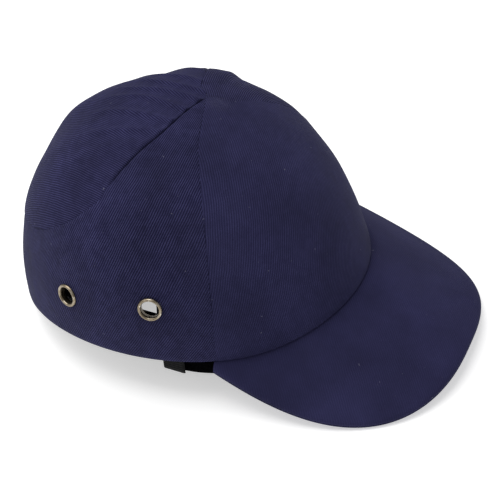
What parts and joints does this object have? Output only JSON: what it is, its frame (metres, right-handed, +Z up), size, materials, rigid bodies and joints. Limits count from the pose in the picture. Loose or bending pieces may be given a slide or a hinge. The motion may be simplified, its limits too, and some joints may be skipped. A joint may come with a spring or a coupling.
{
  "type": "bump cap",
  "caption": "Soft twill cap with a stiff curved brim over a hard vented inner shell, with foam pads, a towelling sweatband and an adjustable headband.",
  "frame": {"origin": "on the surface the cap stands on, under the middle of the whole cap's box", "axes": "+Z up, brim towards -Y, wearer's right towards -X"},
  "size_m": [0.1836, 0.2678, 0.1251],
  "materials": {
    "twill": "navy cotton twill, matt",
    "lining_tape": "dark bias tape, matt",
    "brim_board": "pressed board, matt",
    "antique_brass": "antique brass, satin",
    "shell_plastic": "moulded plastic, satin black",
    "foam": "closed-cell foam, matt",
    "terry": "looped towelling, matt black",
    "webbing": "woven tape, matt black",
    "hook_and_loop": "hook-and-loop, matt black",
    "black_plastic": "moulded plastic, satin black"
  },
  "bodies": {
    "insert": {"bump_shell": "shell_plastic", "crown_pad": "foam", "front_pad": "foam", "rear_pad": "foam", "right_pad": "foam", "left_pad": "foam", "sweatband": "terry", "right_headband_strap": "webbing", "right_loop_patch": "hook_and_loop", "right_front_hanger": "webbing", "right_front_rivet": "black_plastic", "right_rear_hanger": "webbing", "right_rear_rivet": "black_plastic", "left_headband_strap": "webbing", "left_loop_patch": "hook_and_loop", "left_front_hanger": "webbing", "left_front_rivet": "black_plastic", "left_rear_hanger": "webbing", "left_rear_rivet": "black_plastic"},
    "cap": {"front_panel": "twill", "right_side_panel": "twill", "left_side_panel": "twill", "rear_crown_panel": "twill", "brim_top_cover": "twill", "brim_under_cover": "twill", "brim_board": "brim_board", "hem_tape": "lining_tape", "right_front_seam_tape": "lining_tape", "right_rear_seam_tape": "lining_tape", "left_front_seam_tape": "lining_tape", "left_rear_seam_tape": "lining_tape", "eyelet_right_front": "antique_brass", "washer_right_front": "antique_brass", "eyelet_right_rear": "antique_brass", "washer_right_rear": "antique_brass", "eyelet_left_front": "antique_brass", "washer_left_front": "antique_brass", "eyelet_left_rear": "antique_brass", "washer_left_rear": "antique_brass"},
    "nape": {"nape_strap": "webbing", "right_hook_patch": "hook_and_loop", "left_hook_patch": "hook_and_loop"}
  },
  "joints": [
    {"name": "cap_lift", "type": "slide", "parent": "insert", "child": "cap", "axis": [0, 0, 1], "range_m": [0, 0.16]},
    {"name": "nape_slide", "type": "slide", "parent": "insert", "child": "nape", "axis": [0, 1, 0], "range_m": [-0.012, 0]}
  ]
}
